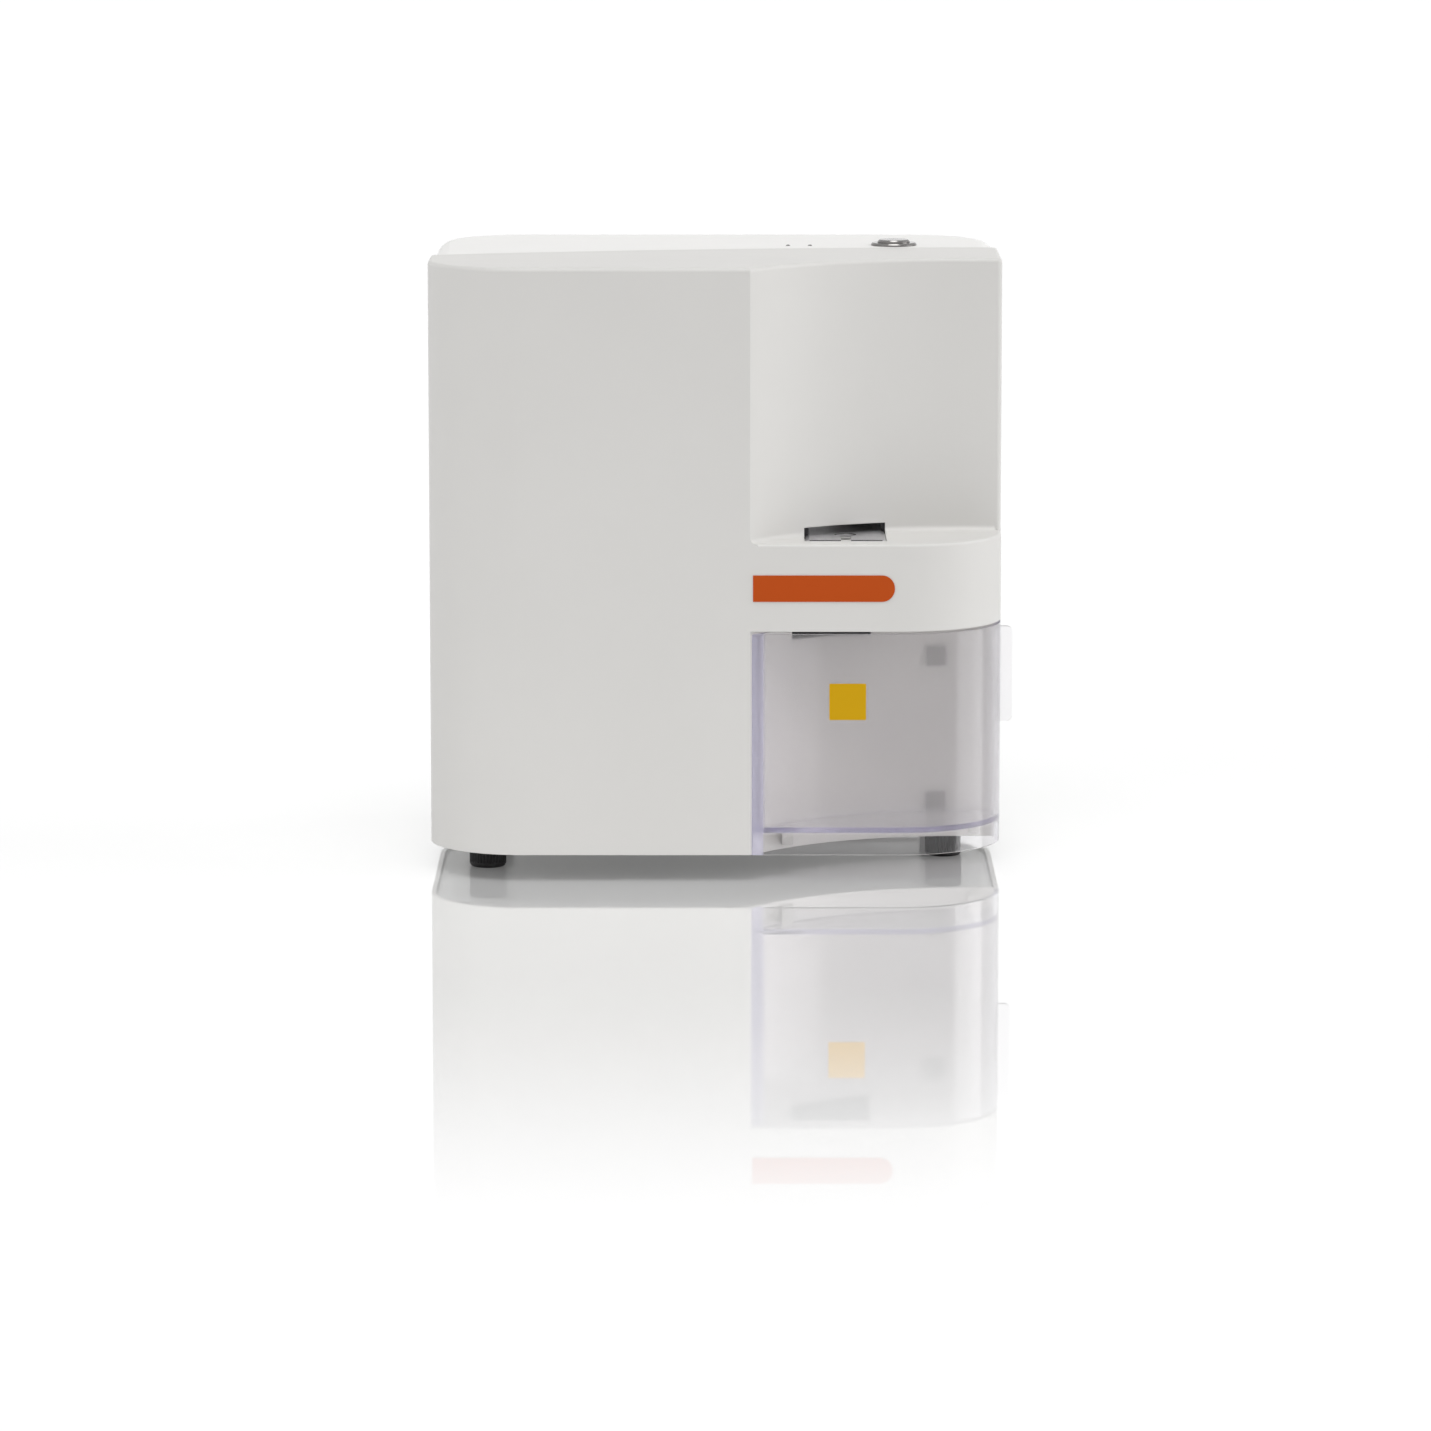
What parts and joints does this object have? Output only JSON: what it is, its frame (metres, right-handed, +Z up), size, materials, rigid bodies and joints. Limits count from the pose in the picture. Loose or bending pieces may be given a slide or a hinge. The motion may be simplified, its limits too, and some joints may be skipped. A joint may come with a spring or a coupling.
{
  "type": "urine analyzer",
  "caption": "Benchtop lab analyzer with a moulded housing, a side ledge with a sliding loading tray, and a clear pull-out waste bin.",
  "frame": {"origin": "under the middle of the whole box, on the surface that the feet stand on", "axes": "+Z up, +X to the right seen from the front, +Y from the front to the back"},
  "size_m": [0.3166, 0.2244, 0.3342],
  "materials": {
    "shell_white": "satin moulded plastic, warm white",
    "cover_white": "satin moulded plastic, lighter white",
    "plate_grey": "powder coated sheet",
    "screw_steel": "zinc plated",
    "foot_rubber": "moulded",
    "bin_clear": "clear, lightly frosted, with a lilac edge tint",
    "strike_steel": "dark plated",
    "magnet_nickel": "nickel plated",
    "bracket_white": "moulded",
    "label_yellow": "printed film",
    "strip_orange": "printed film",
    "tray_steel": "polished",
    "nut_brass": "turned",
    "inner_black": "moulded",
    "motor_black": "lacquered",
    "deck_aluminium": "milled",
    "sheet_steel": "folded sheet",
    "bowl_grey": "moulded",
    "rod_chrome": "ground",
    "belt_rubber": "toothed belt",
    "objective_chrome": "satin",
    "camera_black": "anodised",
    "lamp_clear": "clear lens",
    "button_steel": "turned stainless",
    "lens_smoke": "smoked lens",
    "panel_grey": "powder coated sheet",
    "port_steel": "stamped",
    "board_green": "solder mask"
  },
  "bodies": {
    "root": {"front_shell": "shell_white", "rear_cover": "cover_white", "base_plate": "plate_grey", "base_screws": "screw_steel", "foot_front_left": "foot_rubber", "foot_front_right": "foot_rubber", "foot_rear_left": "foot_rubber", "foot_rear_right": "foot_rubber", "foot_screws": "screw_steel", "bin_magnets": "magnet_nickel", "bin_brackets": "bracket_white", "name_strip": "strip_orange", "tray_rail_left": "inner_black", "tray_rail_right": "inner_black", "tray_motor": "motor_black", "tray_motor_stand": "deck_aluminium", "deck_plate": "deck_aluminium", "deck_posts": "deck_aluminium", "waste_chute": "sheet_steel", "centrifuge_bowl": "bowl_grey", "centrifuge_motor": "motor_black", "shuttle_rods": "rod_chrome", "rod_blocks": "deck_aluminium", "idler_bush": "nut_brass", "shuttle_belt": "belt_rubber", "shuttle_motor": "motor_black", "microscope_frame": "deck_aluminium", "focus_motor": "motor_black", "condenser_lamp": "lamp_clear", "button_housing": "button_steel", "button_nut": "button_steel", "status_lenses": "lens_smoke", "back_panel": "panel_grey", "panel_screws": "screw_steel", "fan_frame": "inner_black", "power_inlet": "inner_black", "inlet_pins": "nut_brass", "data_port": "port_steel", "power_supply": "sheet_steel", "main_board": "board_green", "board_chips": "inner_black"},
    "bin": {"waste_bin": "bin_clear", "bin_strike_plates": "strike_steel", "bin_label": "label_yellow"},
    "tray": {"loading_tray": "tray_steel", "tray_nut": "nut_brass"},
    "tray_drive": {"tray_screw": "screw_steel"},
    "rotor": {"centrifuge_rotor": "deck_aluminium"},
    "fan": {"fan_rotor": "inner_black"},
    "carriage": {"shuttle": "inner_black"},
    "drive_wheel": {"drive_pulley": "deck_aluminium"},
    "idler_wheel": {"idler_pulley": "deck_aluminium"},
    "focus": {"focus_slide": "deck_aluminium", "objective": "objective_chrome", "camera": "camera_black"},
    "focus_drive": {"focus_screw": "screw_steel"},
    "button": {"button_cap": "button_steel"}
  },
  "joints": [
    {"name": "bin_slide", "type": "slide", "parent": "root", "child": "bin", "axis": [0, -1, 0], "range_m": [0, 0.08]},
    {"name": "tray_slide", "type": "slide", "parent": "root", "child": "tray", "axis": [0, 1, 0], "range_m": [0, 0.08]},
    {"name": "tray_screw_turn", "type": "hinge", "parent": "root", "child": "tray_drive", "pos_m": [0.09775, 0.0202, 0.1745], "axis": [0, 1, 0], "range_deg": [-10, 3610]},
    {"name": "rotor_spin", "type": "hinge", "parent": "root", "child": "rotor", "pos_m": [-0.0282, -0.04605, 0.174], "axis": [0, 0, 1], "continuous": true},
    {"name": "fan_spin", "type": "hinge", "parent": "root", "child": "fan", "pos_m": [0.04475, 0.1002, 0.098], "axis": [0, 1, 0], "continuous": true},
    {"name": "shuttle_travel", "type": "slide", "parent": "root", "child": "carriage", "axis": [-1, 0, 0], "range_m": [0, 0.178]},
    {"name": "drive_pulley_turn", "type": "hinge", "parent": "root", "child": "drive_wheel", "pos_m": [-0.13325, 0.0237, 0.163], "axis": [0, 0, 1], "range_deg": [-10, 1740]},
    {"name": "idler_pulley_turn", "type": "hinge", "parent": "root", "child": "idler_wheel", "pos_m": [0.10875, 0.0237, 0.163], "axis": [0, 0, 1], "range_deg": [-10, 1740]},
    {"name": "focus_travel", "type": "slide", "parent": "root", "child": "focus", "axis": [0, 0, 1], "range_m": [-0.001, 0.005]},
    {"name": "focus_screw_turn", "type": "hinge", "parent": "root", "child": "focus_drive", "pos_m": [-0.11325, 0.0819, 0.25], "axis": [0, 0, 1], "range_deg": [-370, 1810]},
    {"name": "button_press", "type": "slide", "parent": "root", "child": "button", "axis": [0, 0, -1], "range_m": [0, 0.0014], "stiffness_N_per_m": 600, "springref_m": -0.001}
  ],
  "couplings": [
    {"joint": "tray_screw_turn", "follows": "tray_slide", "rad_per_m": 785.4},
    {"joint": "drive_pulley_turn", "follows": "shuttle_travel", "rad_per_m": 169.49},
    {"joint": "idler_pulley_turn", "follows": "shuttle_travel", "rad_per_m": 169.49},
    {"joint": "focus_screw_turn", "follows": "focus_travel", "rad_per_m": 6283.2}
  ]
}
